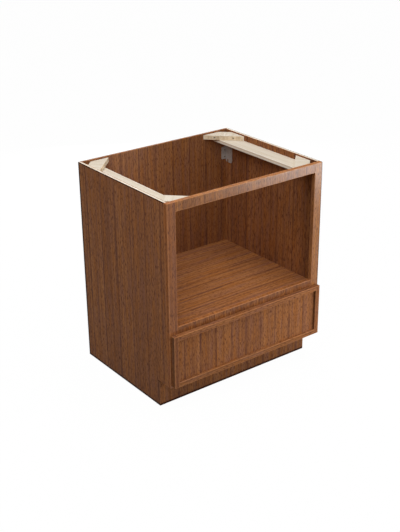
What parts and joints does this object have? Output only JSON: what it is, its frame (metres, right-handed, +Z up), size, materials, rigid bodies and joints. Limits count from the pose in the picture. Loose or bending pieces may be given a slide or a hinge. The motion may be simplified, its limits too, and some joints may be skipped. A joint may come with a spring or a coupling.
{
  "type": "microwave base cabinet",
  "caption": "Framed base cabinet with an open microwave bay over a wide drawer on concealed full-extension runners, top left open for a worktop.",
  "frame": {"origin": "bottom centre of the whole cabinet, drawer front included, on the floor", "axes": "+X to the right seen from the front, +Y to the wall behind, +Z up; the front faces -Y"},
  "size_m": [0.762, 0.6304, 0.8763],
  "materials": {
    "panel_wood": "stained walnut, satin",
    "frame_wood": "stained walnut, satin",
    "drawer_front_wood": "stained walnut, satin",
    "brace_plywood": "unfinished birch plywood",
    "block_wood": "unfinished poplar",
    "drawer_box_wood": "clear-coated maple",
    "bracket_steel": "stamped, grey zinc",
    "runner_steel": "bright zinc plate",
    "ball_cage": "stamped cage with steel balls",
    "clip_plastic": "moulded grey",
    "lever_plastic": "moulded orange",
    "bumper_rubber": "clear soft dot",
    "screw_steel": "yellow zinc",
    "screw_black": "black phosphate"
  },
  "bodies": {
    "cabinet": {"left_side_panel": "panel_wood", "right_side_panel": "panel_wood", "back_panel": "panel_wood", "cabinet_floor": "panel_wood", "microwave_shelf": "panel_wood", "toe_kick_board": "panel_wood", "left_stile": "frame_wood", "right_stile": "frame_wood", "top_rail": "frame_wood", "middle_rail": "frame_wood", "bottom_rail": "frame_wood", "left_brace": "brace_plywood", "right_brace": "brace_plywood", "back_left_corner_block": "block_wood", "back_right_corner_block": "block_wood", "front_left_corner_block": "block_wood", "front_right_corner_block": "block_wood", "upper_left_bracket": "bracket_steel", "upper_right_bracket": "bracket_steel", "lower_left_bracket": "bracket_steel", "lower_right_bracket": "bracket_steel", "left_fixed_channel": "runner_steel", "right_fixed_channel": "runner_steel", "corner_block_screws": "screw_black", "bracket_screws": "screw_black", "runner_screws": "screw_steel"},
    "drawer": {"left_drawer_member": "runner_steel", "right_drawer_member": "runner_steel", "drawer_left_side": "drawer_box_wood", "drawer_right_side": "drawer_box_wood", "drawer_box_front": "drawer_box_wood", "drawer_box_back": "drawer_box_wood", "drawer_bottom": "drawer_box_wood", "front_left_stile": "drawer_front_wood", "front_right_stile": "drawer_front_wood", "front_top_rail": "drawer_front_wood", "front_bottom_rail": "drawer_front_wood", "front_panel": "drawer_front_wood", "front_bumpers": "bumper_rubber", "left_locking_clip": "clip_plastic", "right_locking_clip": "clip_plastic", "drawer_front_screws": "screw_steel", "clip_screws": "screw_steel"},
    "left_middle_member": {"left_middle_member": "runner_steel"},
    "left_lower_cage": {"left_lower_ball_cage": "ball_cage"},
    "left_upper_cage": {"left_upper_ball_cage": "ball_cage"},
    "right_middle_member": {"right_middle_member": "runner_steel"},
    "right_lower_cage": {"right_lower_ball_cage": "ball_cage"},
    "right_upper_cage": {"right_upper_ball_cage": "ball_cage"},
    "left_lever": {"left_release_lever": "lever_plastic"},
    "right_lever": {"right_release_lever": "lever_plastic"}
  },
  "joints": [
    {"name": "drawer_slide", "type": "slide", "parent": "cabinet", "child": "drawer", "axis": [0, -1, 0], "range_m": [0, 0.508]},
    {"name": "left_middle_member_slide", "type": "slide", "parent": "cabinet", "child": "left_middle_member", "axis": [0, -1, 0], "range_m": [0, 0.254]},
    {"name": "left_lower_cage_slide", "type": "slide", "parent": "cabinet", "child": "left_lower_cage", "axis": [0, -1, 0], "range_m": [0, 0.127]},
    {"name": "left_upper_cage_slide", "type": "slide", "parent": "cabinet", "child": "left_upper_cage", "axis": [0, -1, 0], "range_m": [0, 0.381]},
    {"name": "right_middle_member_slide", "type": "slide", "parent": "cabinet", "child": "right_middle_member", "axis": [0, -1, 0], "range_m": [0, 0.254]},
    {"name": "right_lower_cage_slide", "type": "slide", "parent": "cabinet", "child": "right_lower_cage", "axis": [0, -1, 0], "range_m": [0, 0.127]},
    {"name": "right_upper_cage_slide", "type": "slide", "parent": "cabinet", "child": "right_upper_cage", "axis": [0, -1, 0], "range_m": [0, 0.381]},
    {"name": "left_lever_pivot", "type": "hinge", "parent": "drawer", "child": "left_lever", "pos_m": [-0.28176, -0.2502, 0.1745], "axis": [0, 0, -1], "range_deg": [0, 12], "stiffness_Nm_per_rad": 0.05},
    {"name": "right_lever_pivot", "type": "hinge", "parent": "drawer", "child": "right_lever", "pos_m": [0.28176, -0.2502, 0.1745], "axis": [0, 0, 1], "range_deg": [0, 12], "stiffness_Nm_per_rad": 0.05}
  ],
  "couplings": [
    {"joint": "left_middle_member_slide", "follows": "drawer_slide", "ratio": 0.5},
    {"joint": "left_lower_cage_slide", "follows": "drawer_slide", "ratio": 0.25},
    {"joint": "left_upper_cage_slide", "follows": "drawer_slide", "ratio": 0.75},
    {"joint": "right_middle_member_slide", "follows": "drawer_slide", "ratio": 0.5},
    {"joint": "right_lower_cage_slide", "follows": "drawer_slide", "ratio": 0.25},
    {"joint": "right_upper_cage_slide", "follows": "drawer_slide", "ratio": 0.75}
  ]
}
